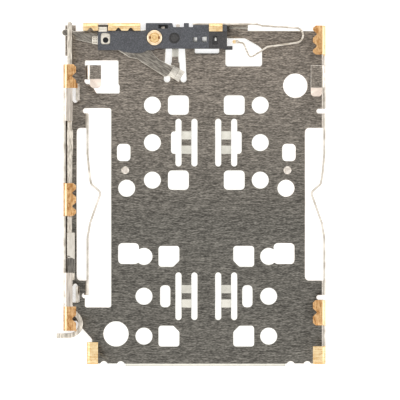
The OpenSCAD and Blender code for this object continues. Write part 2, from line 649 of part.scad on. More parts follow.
shell();
housing();
housing_insert();
fixed_contact();
detect_spring();
ejector_lever();
pivot_rivet();
push_rod();
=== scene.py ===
import math

import bpy
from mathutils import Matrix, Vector


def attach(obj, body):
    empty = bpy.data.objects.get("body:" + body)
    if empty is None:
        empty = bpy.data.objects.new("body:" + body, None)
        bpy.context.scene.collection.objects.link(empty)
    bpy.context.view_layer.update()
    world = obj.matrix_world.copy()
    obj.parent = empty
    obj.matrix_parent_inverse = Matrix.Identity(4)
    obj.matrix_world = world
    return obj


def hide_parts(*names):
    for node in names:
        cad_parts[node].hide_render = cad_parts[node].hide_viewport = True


bl_info = {
    "name": "Card Tray Reader",
    "version": (1, 1, 0),
    "blender": (4, 5, 0),
    "location": "View3D > Sidebar > Reader",
    "description": "Finishes and details of a stamped card tray reader, around its packed frame",
    "category": "Object",
}

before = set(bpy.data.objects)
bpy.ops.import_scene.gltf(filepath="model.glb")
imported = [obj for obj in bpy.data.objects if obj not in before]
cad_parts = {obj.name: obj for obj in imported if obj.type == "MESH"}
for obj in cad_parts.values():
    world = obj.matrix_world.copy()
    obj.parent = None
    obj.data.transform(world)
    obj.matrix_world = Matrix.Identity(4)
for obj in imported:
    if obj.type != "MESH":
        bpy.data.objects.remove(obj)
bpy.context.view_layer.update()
MM = 0.001
# the width of the view and its scale, and the point of the reader in its middle, in millimetres
PIXELS_ACROSS = 400
PIXELS_PER_MM = 14.77
VIEW_CENTRE = (0.372, -0.355)
# heights above the plate's outer face, and the lever's pivot, in millimetres as the part's source has them
SHEET_T = 0.15
WALL_TOP = 1.25
LANCE_TOP = 1.1
SPRING_TOP = 1.05
HEIGHT = 1.45
PIVOT = (-2.7, 10.6)
ALONG_X, ALONG_Y, ALONG_Z = (1, 0, 0), (0, 1, 0), (0, 0, 1)
# corners of the CAD's triangles closer than this, in millimetres, are one corner
SAME_CORNER = 0.0008
# in degrees: neighbours flatter than this are one face, edges sharper than this are broken, and the shading
# is smooth across edges up to this angle on a CAD copy and on a new piece
FLAT_BELOW, BROKEN_FROM, COPY_SMOOTH, PIECE_SMOOTH = 0.6, 32, 34, 40
# the z of a face's normal, from which the face counts as one that looks up
LOOKS_UP = 0.9


def linear(code):
    """Turns an sRGB hex code into linear RGBA, which Blender's sockets hold."""
    parts = [int(code[i:i + 2], 16) / 255 for i in (1, 3, 5)]
    return tuple(p / 12.92 if p <= 0.04045 else ((p + 0.055) / 1.055) ** 2.4 for p in parts) + (1.0,)


def opaque(colour):
    """Gives a linear colour of the panel its alpha."""
    return tuple(colour) + (1.0,)


def add(tree, kind, inputs=None, **settings):
    """Adds one node. An input is a constant, a socket, or a node whose first output is taken."""
    made = tree.nodes.new("ShaderNode" + kind)
    for name, value in settings.items():
        setattr(made, name, value)
    for name, value in (inputs or {}).items():
        if isinstance(value, bpy.types.Node):
            value = value.outputs[0]
        if isinstance(value, bpy.types.NodeSocket):
            tree.links.new(value, made.inputs[name])
        else:
            made.inputs[name].default_value = value
    return made


def set_ramp(ramp, *stops):
    """Gives a colour ramp its stops, each a position and a linear colour."""
    elements = ramp.color_ramp.elements
    while len(elements) < len(stops):
        elements.new(0.5)
    for element, (position, colour) in zip(elements, stops):
        element.position = position
        element.color = colour


def new_material(name):
    """An empty material, and its tree."""
    material = bpy.data.materials.new(name)
    material.use_nodes = True
    material.node_tree.nodes.clear()
    return material, material.node_tree


def finish_material(tree, shader):
    """Joins the shader to the material's output."""
    add(tree, "OutputMaterial", {"Surface": shader.outputs[0]})


def brushed_stainless():
    """Stainless strip, brushed across the reader: short pale and dark dashes along X.

    Its dark tone is partly a painted dark reflection from above.
    """
    colours = bpy.context.scene.reader_colours
    material, tree = new_material("brushed_stainless")
    place = add(tree, "TexCoord").outputs["Object"]
    # real brush lines are some 0.02 mm wide; so that they show, they are drawn in two layers, one 0.05 mm
    # wide and 0.4 mm long, the other 0.03 mm wide and 0.15 mm long
    close = add(tree, "Mapping", {"Vector": place, "Scale": (2.6 / MM, 21 / MM, 3 / MM)})
    dashes = add(tree, "TexNoise", {"Vector": close, "Scale": 1.0, "Detail": 0.0})
    # the second layer is shifted, so that it doesn't repeat the first at the origin
    fine = add(tree, "Mapping", {"Vector": place, "Location": (3, 5, 0),
                                 "Scale": (7 / MM, 30 / MM, 4 / MM)})
    scratches = add(tree, "TexNoise", {"Vector": fine, "Scale": 1.0, "Detail": 0.0})
    both = add(tree, "MixRGB", {"Fac": 0.55, "Color1": dashes.outputs["Fac"],
                                "Color2": scratches.outputs["Fac"]})
    tone = add(tree, "ValToRGB", {"Fac": both})
    set_ramp(tone, (0.32, linear("#868686")), (0.48, linear("#b9b9b9")), (0.58, linear("#d6d6d6")),
             (0.68, linear("#ffffff")))
    # the strip grows warmer and paler from 2 mm before the middle to its rear
    along = add(tree, "SeparateXYZ", {"Vector": place})
    rearwards = add(tree, "MapRange", {"Value": along.outputs["Y"], "From Min": -2 * MM,
                                       "From Max": 12 * MM})
    base = add(tree, "MixRGB", {"Fac": rearwards, "Color1": opaque(colours.steel),
                                "Color2": opaque(colours.steel_warm)})
    lined = add(tree, "MixRGB", {"Fac": 1.0, "Color1": base, "Color2": tone}, blend_type="MULTIPLY")
    rough = add(tree, "MapRange", {"Value": both, "To Min": 0.32, "To Max": 0.46})
    relief = add(tree, "Bump", {"Height": both, "Strength": 0.25, "Distance": 0.004 * MM})
    finish_material(tree, add(tree, "BsdfPrincipled", {
        "Base Color": lined, "Metallic": 1.0, "Roughness": rough, "Normal": relief}))
    return material


def drawn_stainless(name, dark, pale, scale, contrast=0.14, rough_range=(0.22, 0.36)):
    """Stainless strip that a tool has bent, sheared or rolled, which leaves soft streaks.

    The scale is the streaks' number per millimetre along each axis.
    """
    material, tree = new_material(name)
    place = add(tree, "TexCoord").outputs["Object"]
    drag = add(tree, "Mapping", {"Vector": place, "Scale": [s / MM for s in scale]})
    marks = add(tree, "TexNoise", {"Vector": drag, "Scale": 1.0, "Detail": 2.0, "Roughness": 0.55})
    tone = add(tree, "ValToRGB", {"Fac": marks.outputs["Fac"]})
    set_ramp(tone, (0.5 - contrast, dark), (0.5 + contrast, pale))
    rough = add(tree, "MapRange", {"Value": marks.outputs["Fac"], "To Min": rough_range[0],
                                   "To Max": rough_range[1]})
    finish_material(tree, add(tree, "BsdfPrincipled", {
        "Base Color": tone, "Metallic": 1.0, "Roughness": rough}))
    return material


def gold_plating(name, dark, pale, grain=(10, 2.2, 4)):
    """Gold plated over nickel: warm, a little cloudy, with lines of the rolled strip and darker patches.

    The grain is the lines' number per millimetre along each axis.
    """
    material, tree = new_material(name)
    place = add(tree, "TexCoord").outputs["Object"]
    # the clouds are some 0.2 mm across
    cloud = add(tree, "TexNoise", {"Vector": place, "Scale": 4.5 / MM, "Detail": 4.0, "Roughness": 0.7})
    rolled = add(tree, "Mapping", {"Vector": place, "Scale": [g / MM for g in grain]})
    lines = add(tree, "TexNoise", {"Vector": rolled, "Scale": 1.0, "Detail": 2.0})
    both = add(tree, "MixRGB", {"Fac": 0.5, "Color1": cloud.outputs["Fac"], "Color2": lines.outputs["Fac"]})
    tone = add(tree, "ValToRGB", {"Fac": both})
    set_ramp(tone, (0.41, dark), (0.59, pale))
    rough = add(tree, "MapRange", {"Value": cloud.outputs["Fac"], "To Min": 0.22, "To Max": 0.36})
    relief = add(tree, "Bump", {"Height": both, "Strength": 0.25, "Distance": 0.004 * MM})
    finish_material(tree, add(tree, "BsdfPrincipled", {
        "Base Color": tone, "Metallic": 1.0, "Roughness": rough, "Normal": relief}))
    return material


def moulded_lcp(name, dark, pale, fleck):
    """Glass-filled moulded plastic: grey-black, matt, with pale fibre flecks and faint flow marks."""
    material, tree = new_material(name)
    place = add(tree, "TexCoord").outputs["Object"]
    flow = add(tree, "Mapping", {"Vector": place, "Scale": (1.3 / MM, 3.4 / MM, 3.4 / MM)})
    clouds = add(tree, "TexNoise", {"Vector": flow, "Scale": 1.0, "Detail": 4.0, "Roughness": 0.6})
    flecks = add(tree, "TexNoise", {"Vector": place, "Scale": 11 / MM, "Detail": 2.0, "Roughness": 0.7})
    shown = add(tree, "MapRange", {"Value": flecks.outputs["Fac"], "From Min": 0.45, "From Max": 0.75,
                                   "To Max": 0.42})
    tone = add(tree, "MixRGB", {"Fac": clouds.outputs["Fac"], "Color1": dark, "Color2": pale})
    flecked = add(tree, "MixRGB", {"Fac": shown, "Color1": tone, "Color2": fleck})
    relief = add(tree, "Bump", {"Height": flecks.outputs["Fac"], "Strength": 0.3, "Distance": 0.006 * MM})
    rough = add(tree, "MapRange", {"Value": clouds.outputs["Fac"], "To Min": 0.42, "To Max": 0.6})
    finish_material(tree, add(tree, "BsdfPrincipled", {
        "Base Color": flecked, "IOR": 1.6, "Roughness": rough, "Normal": relief}))
    return material


def ground_strip(name, dark, pale, direction, line_mm):
    """Narrow strip that is ground or rolled, bare or nickel plated: satin, with fine lines one way.

    The direction is the angle from the lines to the X axis, in radians.
    """
    material, tree = new_material(name)
    place = add(tree, "TexCoord").outputs["Object"]
    turned = add(tree, "VectorRotate", {"Vector": place, "Angle": direction}, rotation_type="Z_AXIS")
    lengthwise = add(tree, "Mapping", {"Vector": turned,
                                       "Scale": (2.2 / MM, 1 / (line_mm * MM), 1.2 / MM)})
    lines = add(tree, "TexNoise", {"Vector": lengthwise, "Scale": 1.0, "Detail": 1.0, "Roughness": 0.7})
    tone = add(tree, "ValToRGB", {"Fac": lines.outputs["Fac"]})
    set_ramp(tone, (0.35, dark), (0.65, pale))
    rough = add(tree, "MapRange", {"Value": lines.outputs["Fac"], "To Min": 0.26, "To Max": 0.4})
    relief = add(tree, "Bump", {"Height": lines.outputs["Fac"], "Strength": 0.3, "Distance": 0.005 * MM})
    finish_material(tree, add(tree, "BsdfPrincipled", {
        "Base Color": tone, "Metallic": 1.0, "Roughness": rough, "Normal": relief}))
    return material


def select_only(piece):
    """Selects the piece alone, and makes it the active one."""
    bpy.ops.object.select_all(action="DESELECT")
    piece.select_set(True)
    bpy.context.view_layer.objects.active = piece


def softened_copy(node, body, edge_break, cuts=()):
    """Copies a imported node, joins its triangles, breaks its edges, and lets the copy stand for the node.

    Each cut is a plane where one finish ends and the next begins: its normal, and its distance from the
    origin in millimetres.
    """
    piece = bpy.data.objects.new(node + "_finished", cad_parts[node].data.copy())
    bpy.context.scene.collection.objects.link(piece)
    piece.data.materials.clear()
    select_only(piece)
    bpy.ops.object.mode_set(mode="EDIT")
    bpy.ops.mesh.select_all(action="SELECT")
    bpy.ops.mesh.customdata_custom_splitnormals_clear()
    bpy.ops.mesh.remove_doubles(threshold=SAME_CORNER * MM)
    bpy.ops.mesh.dissolve_limited(angle_limit=math.radians(FLAT_BELOW))
    for normal, distance in cuts:
        bpy.ops.mesh.select_all(action="SELECT")
        bpy.ops.mesh.bisect(plane_co=Vector(normal) * distance * MM, plane_no=normal)
    bpy.ops.object.mode_set(mode="OBJECT")
    rounding = piece.modifiers.new("edge_break", "BEVEL")
    rounding.width = edge_break
    rounding.segments = 2
    rounding.limit_method = "ANGLE"
    rounding.angle_limit = math.radians(BROKEN_FROM)
    rounding.use_clamp_overlap = False
    rounding.miter_outer = "MITER_ARC"
    bpy.ops.object.modifier_apply(modifier=rounding.name)
    bpy.ops.object.shade_smooth_by_angle(angle=math.radians(COPY_SMOOTH))
    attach(piece, body)
    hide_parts(node)
    return piece


def give_finishes(piece, finishes, choose):
    """Adds the finishes, and gives each face the one that choose names for its place in mm and its normal."""
    order = list(finishes)
    for name in order:
        piece.data.materials.append(finishes[name])
    for face in piece.data.polygons:
        face.material_index = order.index(choose(*(face.center / MM), face.normal))


def add_detail(piece, name, body):
    """Names a new piece, puts its place into its mesh, and lets it ride on a body."""
    piece.name = name
    select_only(piece)
    bpy.ops.object.transform_apply(location=True, rotation=True, scale=True)
    bpy.ops.object.shade_smooth_by_angle(angle=math.radians(PIECE_SMOOTH))
    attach(piece, body)
    return piece


def lift_insets(piece, steps):
    """Insets the top of a piece once for each step, which is a distance inwards and one upwards, in mm."""
    select_only(piece)
    bpy.ops.object.mode_set(mode="EDIT")
    bpy.ops.mesh.select_all(action="DESELECT")
    bpy.ops.object.mode_set(mode="OBJECT")
    for face in piece.data.polygons:
        face.select = face.normal.z > LOOKS_UP
    bpy.ops.object.mode_set(mode="EDIT")
    for inwards, upwards in steps:
        bpy.ops.mesh.inset(thickness=inwards * MM, use_even_offset=True)
        bpy.ops.transform.translate(value=(0, 0, upwards * MM))
    bpy.ops.object.mode_set(mode="OBJECT")


def low_dome(radius, height, stretch, finish):
    """A pressed spot with a domed top, stretched along Y, round the origin; sizes in mm."""
    bpy.ops.object.select_all(action="DESELECT")
    bpy.ops.mesh.primitive_cylinder_add(vertices=24, radius=radius * MM, depth=height * MM)
    dome = bpy.context.active_object
    # the top rises in three steps, each flatter than the last
    lift_insets(dome, ((0.22 * radius, 0.3 * height), (0.3 * radius, 0.16 * height),
                       (0.3 * radius, 0.04 * height)))
    bpy.ops.object.mode_set(mode="EDIT")
    bpy.ops.mesh.select_all(action="SELECT")
    bpy.ops.transform.resize(value=(1, stretch, 1))
    bpy.ops.object.mode_set(mode="OBJECT")
    dome.data.materials.append(finish)
    return dome


def copied_to(piece, places):
    """The piece and as many copies as it takes, each with a mesh of its own, moved to the places in mm."""
    row = [piece]
    while len(row) < len(places):
        twin = bpy.data.objects.new(piece.name, piece.data.copy())
        bpy.context.scene.collection.objects.link(twin)
        row.append(twin)
    for each, place in zip(row, places):
        each.location = Vector(place) * MM
    return row


def colour_property(name, description, code):
    """A colour of the panel, whose default is an sRGB hex code."""
    return bpy.props.FloatVectorProperty(
        name=name, description=description, subtype="COLOR", size=3, min=0, max=1, default=linear(code)[:3])


class ReaderSizes(bpy.types.PropertyGroup):
    """How far the edges of each kind of piece are broken"""
    sheet_edge: bpy.props.FloatProperty(
        name="Sheet edge", description="Radius of the sheared edges of the shell", unit="LENGTH",
        default=0.022 * MM, min=0.005 * MM, max=0.05 * MM, precision=6)
    strip_edge: bpy.props.FloatProperty(
        name="Strip edge", description="Radius of the tumbled edges of the rod, the lever and the springs",
        unit="LENGTH", default=0.03 * MM, min=0.005 * MM, max=0.05 * MM, precision=6)
    mould_edge: bpy.props.FloatProperty(
        name="Mould edge", description="Radius of the moulded edges of the housing", unit="LENGTH",
        default=0.02 * MM, min=0.005 * MM, max=0.04 * MM, precision=6)


class ReaderColours(bpy.types.PropertyGroup):
    """The darkest and the palest tone of the main finishes"""
    # the steel tones are partly a painted dark reflection from above, darker than the bends' tones
    steel: colour_property("Steel", "Brushed plate near the mouth", "#8a867e")
    steel_warm: colour_property("Warm steel", "Brushed plate near the rear", "#b2a699")
    # the bends' tones are a painted highlight, streaked darker by drag marks
    bend_dark: colour_property("Bend shade", "Drag marks on the bends", "#c4b9ad")
    bend_pale: colour_property("Bend light", "Bends of the sheet", "#efe8df")
    flange_dark: colour_property("Flange shade", "Rolled flanges over the rod", "#aaa095")
    flange_pale: colour_property("Flange light", "Rolled flanges over the rod", "#dcd2c6")
    # the cut edges' pale tones are partly a painted highlight
    sheared_dark: colour_property("Sheared shade", "Cut edges of the sheet, where it tore", "#b5ada0")
    sheared_pale: colour_property("Sheared light", "Cut edges of the sheet, where the punch slid", "#e6dfd4")
    gold_dark: colour_property("Gold shade", "Cloudy parts of the plating", "#ad7a47")
    gold_pale: colour_property("Gold light", "Clean parts of the plating", "#e0b683")
    plastic_dark: colour_property("Plastic shade", "Moulded housing", "#313235")
    plastic_pale: colour_property("Plastic light", "Flow marks of the housing", "#505257")
    # the lever's tones are darkened, partly as painted shadow from the housing
    lever_dark: colour_property("Lever shade", "Lever, between the grinding lines", "#67625b")
    lever_pale: colour_property("Lever light", "Grinding lines of the lever", "#9d978d")
    rod_dark: colour_property("Rod shade", "Rod, between the lines", "#ada497")
    rod_pale: colour_property("Rod light", "Rod", "#e8dfd1")


# Where the shell's finishes lie, in millimetres; a pair of ranges is one of x and one of y.
# gold: the folded feet, from this height up, and the lines along Y where the gold ends on a left foot
SIDE_FEET = (
    ((-9, -7.9), (7.2, 8.9)), ((-9, -7.9), (-1.5, 0.8)), ((-9, -7.9), (-9.2, -7.54)),
    ((7.9, 9), (9.4, 11.5)), ((7.9, 9), (-8.9, -7.1)),
)
END_FEET = (
    ((-7.6, -6.49), (10.9, 11.7)), ((-5.86, -3.6), (10.9, 11.7)), ((-7.4, -6.4), (-11.6, -9.9)),
    ((7.9, 9), (-11.6, -10.2)),
)
GOLD_LOWEST = 0.8
GOLD_ENDS = (7.2, -7.54)
# the feet's bends get a painted highlight: a band of x at the left, and all that is further out than this at
# the right
LEFT_BEND_HIGHLIGHT, RIGHT_BEND_HIGHLIGHT = (-8.73, -8.53), 8.56
# the card guides' flats and ramps; left of this x and behind this y, the right flat gets a painted highlight
GUIDE_RIM = (7.9, 8.68)
GUIDE_FLATS = (((-7.05, -6.3), (7.7, 8.8)), ((7.84, 8.6), (7.2, 8.8)))
GUIDE_RAMPS = (((-7.05, -6.3), (6.6, 7.7)), ((7.84, 8.6), (6.2, 7.2)))
# the tongue under the lever, whose part behind its cut gets a painted sheen, and the two raised pips, whose
# tops get a painted highlight
TONGUE = ((-1.6, -1.0), (9.35, 10.1))
DIMPLES = (((-5.1, -4.4), (1.3, 2.1)), ((5.8, 6.5), (1.3, 2.1)))
# the card's ribs lie within this x, and they and the plate below this height
RIBS_WITHIN, RIB_HIGHEST = 6, 0.6
# a wall's normal has less z than the first of these, and a flat face's has more than the second
WALL_STEEPNESS, FLATNESS = 0.25, 0.985
# a face this near a height is at it, and a pip's faces lie at least this much above the plate
AT_HEIGHT, PIP_RISE = 0.03, 0.01


def within(ranges, x, y):
    """Whether a place lies in one of the pairs of ranges."""
    return any(a[0] < x < a[1] and b[0] < y < b[1] for a, b in ranges)


class READER_OT_shell(bpy.types.Operator):
    """Finishes the stamped shell: brushed plate, bends with a painted highlight, cut edges and plated feet"""
    bl_idname = "reader.shell"
    bl_label = "Stamped Shell"

    def execute(self, context):
        colours = context.scene.reader_colours
        cuts = ((ALONG_Y, GOLD_ENDS[0]), (ALONG_Y, GOLD_ENDS[1]), (ALONG_Y, TONGUE[1][0]),
                (ALONG_Z, GOLD_LOWEST), (ALONG_X, LEFT_BEND_HIGHLIGHT[0]), (ALONG_X, LEFT_BEND_HIGHLIGHT[1]),
                (ALONG_X, RIGHT_BEND_HIGHLIGHT), (ALONG_X, GUIDE_RIM[0]), (ALONG_Y, GUIDE_RIM[1]))
        shell = softened_copy("shell", "shell", context.scene.reader_sizes.sheet_edge, cuts)
        finishes = {
            "brushed": brushed_stainless(),
            # bends, pip tops and the right guide's rim: a painted highlight, paler than the flat plate
            "painted_highlight": drawn_stainless("stainless_painted_highlight", opaque(colours.bend_dark),
                                         opaque(colours.bend_pale), (3, 3, 1), 0.2),
            # ribs and ramps: an even, nearly plain painted sheen, paler than the flat plate
            "pressed": drawn_stainless("stainless_painted_sheen", linear("#b7b4aa"), linear("#cac7bd"),
                                       (3, 3, 1), 0.3),
            # the guides' ramps: a painted highlight
            "ramp": drawn_stainless("guide_ramp_painted_highlight", linear("#dfcdbf"), linear("#eee0d3"),
                                    (2, 2, 2), 0.3),
            "rolled": drawn_stainless("rolled_stainless", opaque(colours.flange_dark),
                                      opaque(colours.flange_pale), (11, 0.8, 1)),
            # cut edges: rougher, since the sheet tore there; their pale tone on the tops of walls, lances and
            # springs is partly a painted highlight
            "sheared": drawn_stainless("sheared_stainless_highlight", opaque(colours.sheared_dark),
                                       opaque(colours.sheared_pale), (1.6, 1.6, 2), 0.16, (0.3, 0.5)),
            # walls: the sheet's rolled lines run along them
            "wall": drawn_stainless("rolled_wall_stainless", linear("#a59d92"), linear("#d3cabf"),
                                    (1.1, 1.1, 15), 0.2),
            "gold": gold_plating("gold_plating", opaque(colours.gold_dark), opaque(colours.gold_pale)),
            # the side feet's bends get a painted highlight, and the end feet keep a paler flash of the
            # plating
            "gold_bend_highlight": gold_plating("gold_bend_painted_highlight", linear("#e9cb9c"), linear("#f5dfb7"),
                                      (2, 1, 1)),
            "flash": gold_plating("gold_flash", linear("#ddb67f"), linear("#f5dcae"), (1.5, 9, 4)),
        }

        def choose(x, y, z, normal):
            if z > GOLD_LOWEST and within(SIDE_FEET, x, y):
                return "gold_bend_highlight" if LEFT_BEND_HIGHLIGHT[0] < x < LEFT_BEND_HIGHLIGHT[1] or x > RIGHT_BEND_HIGHLIGHT else "gold"
            if z > GOLD_LOWEST and within(END_FEET, x, y):
                return "flash"
            if abs(normal.z) < WALL_STEEPNESS and z > SHEET_T:
                return "wall"
            at_top = any(abs(z - top) < AT_HEIGHT for top in (WALL_TOP, LANCE_TOP, SPRING_TOP))
            if normal.z > LOOKS_UP and at_top:
                if not within(GUIDE_FLATS, x, y):
                    return "sheared"
                # the right guide's rim gets a painted highlight
                on_rim = x > 0 and (x < GUIDE_RIM[0] or y > GUIDE_RIM[1])
                return "painted_highlight" if on_rim else "brushed"
            if normal.z > LOOKS_UP and z > HEIGHT - AT_HEIGHT:
                return "rolled"
            # the pips' tops get a painted highlight
            if z > SHEET_T + PIP_RISE and within(DIMPLES, x, y):
                return "painted_highlight"
            # the tongue behind its cut is kept from the brushed flats, and gets the painted sheen
            if abs(normal.z) > FLATNESS and z < RIB_HIGHEST and not within((TONGUE,), x, y):
                return "brushed"
            if within(GUIDE_RAMPS, x, y):
                return "ramp"
            # rib slopes and the tongue get the painted sheen, all else the painted highlight
            return "pressed" if z < RIB_HIGHEST and abs(x) < RIBS_WITHIN else "painted_highlight"

        give_finishes(shell, finishes, choose)
        return {"FINISHED"}


# The housing's mould mark, a sunk ring: its place from the pivot, its radii and its depth, in millimetres.
RING_PLACE, RING_RADIUS, RING_INNER, RING_DEPTH = (1.34, -0.03), 0.4, 0.3, 0.05
# the housing's switch end begins this far right of the pivot
SWITCH_FROM = 3.68


class READER_OT_housing(bpy.types.Operator):
    """Finishes the moulded housing: its switch end and the centre of its sunk ring are darker, and the ring's
    groove is painted shade
    """
    bl_idname = "reader.housing"
    bl_label = "Moulded Housing"

    def execute(self, context):
        colours = context.scene.reader_colours
        housing = softened_copy("housing", "shell", context.scene.reader_sizes.mould_edge)
        finishes = {
            "moulded": moulded_lcp("moulded_lcp", opaque(colours.plastic_dark), opaque(colours.plastic_pale),
                                   linear("#8f9099")),
            # the sunk ring's groove is painted shade; its centre and the switch end are darker
            "dark_and_groove_shade": moulded_lcp("moulded_lcp_dark_and_groove_shade", linear("#1a1a1b"), linear("#343231"),
                                    linear("#746e6b")),
        }
        top = HEIGHT - SHEET_T
        ring_x, ring_y = PIVOT[0] + RING_PLACE[0], PIVOT[1] + RING_PLACE[1]

        def choose(x, y, z, normal):
            reach = math.hypot(x - ring_x, y - ring_y)
            in_ring = reach < RING_INNER or (reach < RING_RADIUS and z < top - RING_DEPTH)
            return "dark_and_groove_shade" if in_ring or x > PIVOT[0] + SWITCH_FROM else "moulded"

        give_finishes(housing, finishes, choose)
        return {"FINISHED"}


# In millimetres: the detect spring is gold plated at its tip, left of this x and in front of this y, and at
# its tail, from this height on.
TIP_END, TIP_FRONT, TAIL_FROM = 2.78, 10.8, 1.12
# the fixed contact's carrier tabs lie behind this y, and the insert's rubbed tab in front of this one
TABS_FROM, TAB_RUBBED_TO = 11.15, 10.95
# the grip dots on the insert's tab: the first one's place, the pitch of columns and rows, radius, height
DOTS_FROM, DOT_PITCH, DOT_RADIUS, DOT_HEIGHT = (-6.79, 10.3, 1.21), (0.15, 0.16), 0.042, 0.03


class READER_OT_contacts(bpy.types.Operator):
    """Finishes the metal strips of the housing and its switch"""
    bl_idname = "reader.contacts"
    bl_label = "Contacts"

    def execute(self, context):
        edge = context.scene.reader_sizes.strip_edge / 2
        matt = ground_strip("nickel_plated_insert", linear("#bbb0a4"), linear("#dad1c6"),
                            math.radians(90), 0.09)
        bright = ground_strip("nickel_plated_contact", linear("#d5d2c8"), linear("#ffffff"), 0.0, 0.09)
        spring = ground_strip("spring_bronze", linear("#b4a999"), linear("#e9e1d5"), 0.0, 0.12)
        gold = bpy.data.materials["gold_flash"]
        # the carrier tabs past the housing look duller than the bright plated contact
        contact = softened_copy("fixed_contact", "shell", edge, ((ALONG_Y, TABS_FROM),))
        give_finishes(contact, {"bright": bright, "matt": matt},
                      lambda x, y, z, normal: "matt" if y > TABS_FROM else "bright")
        paler = ground_strip("nickel_plated_rubbed", linear("#cbc4b6"), linear("#ece6d9"), 0.0, 0.09)
        insert = softened_copy("housing_insert", "shell", edge)
        give_finishes(insert, {"matt": matt, "paler": paler},
                      lambda x, y, z, normal: "paler" if y < TAB_RUBBED_TO else "matt")

        def spring_finish(x, y, z, normal):
            return "gold" if z > TAIL_FROM or (x < TIP_END and y < TIP_FRONT) else "spring"

        detect = softened_copy("detect_spring", "shell", edge, ((ALONG_X, TIP_END), (ALONG_Z, TAIL_FROM)))
        give_finishes(detect, {"spring": spring, "gold": gold}, spring_finish)

        # three rows of two grip dots on the insert's tab, darkened as painted shade so that they look like
        # pits
        spots = [(row, column) for row in range(3) for column in range(2)]
        dots_pit_shade = ground_strip("nickel_dots_painted_pit_shade", linear("#84776a"), linear("#9d9184"), 0.0, 0.09)
        dots = copied_to(low_dome(DOT_RADIUS, DOT_HEIGHT, 1, dots_pit_shade), [
            (DOTS_FROM[0] + DOT_PITCH[0] * column, DOTS_FROM[1] + DOT_PITCH[1] * row, DOTS_FROM[2])
            for row, column in spots])
        for dot, (row, column) in zip(dots, spots):
            add_detail(dot, f"insert_dot_{row}{column}", "shell")
        return {"FINISHED"}


# The lever's arm points this many degrees to the front of +X, as in the part's source. From this reach on, in
# millimetres from the pivot, its top gets a painted highlight, and two lines across it get painted shade in
# the creases of its step.
ARM_ANGLE = 32
HIGHLIGHT_FROM = 2.15
ARM_SHADE_LINES = ((2.55, 2.6), (2.78, 2.82))
# the z of a normal, from which a face belongs to the lever's flat top
LEVER_TOP = 0.95


class READER_OT_lever(bpy.types.Operator):
    """Finishes the ejector lever"""
    bl_idname = "reader.lever"
    bl_label = "Ejector Lever"

    def execute(self, context):
        colours = context.scene.reader_colours
        along_arm = math.radians(ARM_ANGLE)
        arm = Vector((math.cos(along_arm), -math.sin(along_arm), 0))
        pivot = Vector((*PIVOT, 0))
        ends = (HIGHLIGHT_FROM, *ARM_SHADE_LINES[0], *ARM_SHADE_LINES[1])
        lever = softened_copy("ejector_lever", "lever", context.scene.reader_sizes.strip_edge,
                              [(arm, arm.dot(pivot) + reach) for reach in ends])
        finishes = {
            # the ground tones stand partly for painted shadow from the housing
            "ground": ground_strip("ground_lever", opaque(colours.lever_dark), opaque(colours.lever_pale),
                                   along_arm, 0.07),
            "painted_light": ground_strip("lever_painted_highlight", linear("#bdb7ab"), linear("#e0dacf"), along_arm, 0.07),
            "crease_shade": ground_strip("lever_painted_crease_shade", linear("#8d887f"), linear("#a8a298"), along_arm, 0.1),
        }

        # the edges and the raised step get a painted highlight, but for two lines across the step, which get
        # painted shade
        def choose(x, y, z, normal):
            reach = arm.dot(Vector((x, y, 0)) - pivot)
            if any(low < reach < high for low, high in ARM_SHADE_LINES):
                return "crease_shade"
            return "ground" if normal.z > LEVER_TOP and reach < HIGHLIGHT_FROM else "painted_light"

        give_finishes(lever, finishes, choose)
        return {"FINISHED"}


# The rivet's top, in millimetres: the disc that the riveting tool forms, with the steps of its top, each
# inwards and upwards, and the reaches between which its grooves get painted shade.
DISC_RADIUS, DISC_HEIGHT, DISC_MIDDLE = 0.345, 0.06, 1.385
DISC_STEPS = ((0.05, 0.012), (0.15, -0.006), (0.04, 0.012), (0.03, -0.004), (0.03, 0.012))
DISC_GROOVES = ((0.29, 0.35), (0.11, 0.145))
# the tool's two marks: radius, height, stretch along Y, distance from the pivot, and height above the plate
MARK_RADIUS, MARK_HEIGHT, MARK_STRETCH, MARK_AWAY, MARK_MIDDLE = 0.07, 0.03, 1.5, 0.3, 1.415


class READER_OT_rivet(bpy.types.Operator):
    """Finishes the pivot rivet, with the ring and the centre that the riveting tool leaves, and painted shade
    in their grooves
    """
    bl_idname = "reader.rivet"
    bl_label = "Pivot Rivet"

    def execute(self, context):
        rivet = softened_copy("pivot_rivet", "shell", context.scene.reader_sizes.strip_edge)
        rim = gold_plating("gold_on_rivet_rim", linear("#e6c9a0"), linear("#f6e2c2"), (3, 3, 3))
        centre = gold_plating("gold_on_rivet_centre", linear("#e6bd80"), linear("#f6dba6"), (3, 3, 3))
        # the tool's two marks are dark brown, partly their own colour and partly painted shade of the pits
        # the tool presses
        shade = gold_plating("gold_tool_mark_and_shade", linear("#6b4527"), linear("#96683d"))
        # the disc's grooves get painted shade
        painted_light = gold_plating("gold_painted_groove_shade", linear("#c59358"), linear("#dab07a"))
        rivet.data.materials.append(rim)

        bpy.ops.object.select_all(action="DESELECT")
        bpy.ops.mesh.primitive_cylinder_add(vertices=48, radius=DISC_RADIUS * MM, depth=DISC_HEIGHT * MM)
        disc = context.active_object
        lift_insets(disc, DISC_STEPS)

        def choose(x, y, z, normal):
            in_groove = any(low < math.hypot(x, y) < high for low, high in DISC_GROOVES)
            return "painted_light" if in_groove else "centre"

        give_finishes(disc, {"centre": centre, "painted_light": painted_light}, choose)
        disc.location = Vector((*PIVOT, DISC_MIDDLE)) * MM
        add_detail(disc, "rivet_centre", "shell")

        marks = copied_to(low_dome(MARK_RADIUS, MARK_HEIGHT, MARK_STRETCH, shade),
                          [(PIVOT[0] + side * MARK_AWAY, PIVOT[1], MARK_MIDDLE) for side in (-1, 1)])
        for mark, side in zip(marks, ("left", "right")):
            add_detail(mark, "rivet_tool_mark_" + side, "shell")
        return {"FINISHED"}


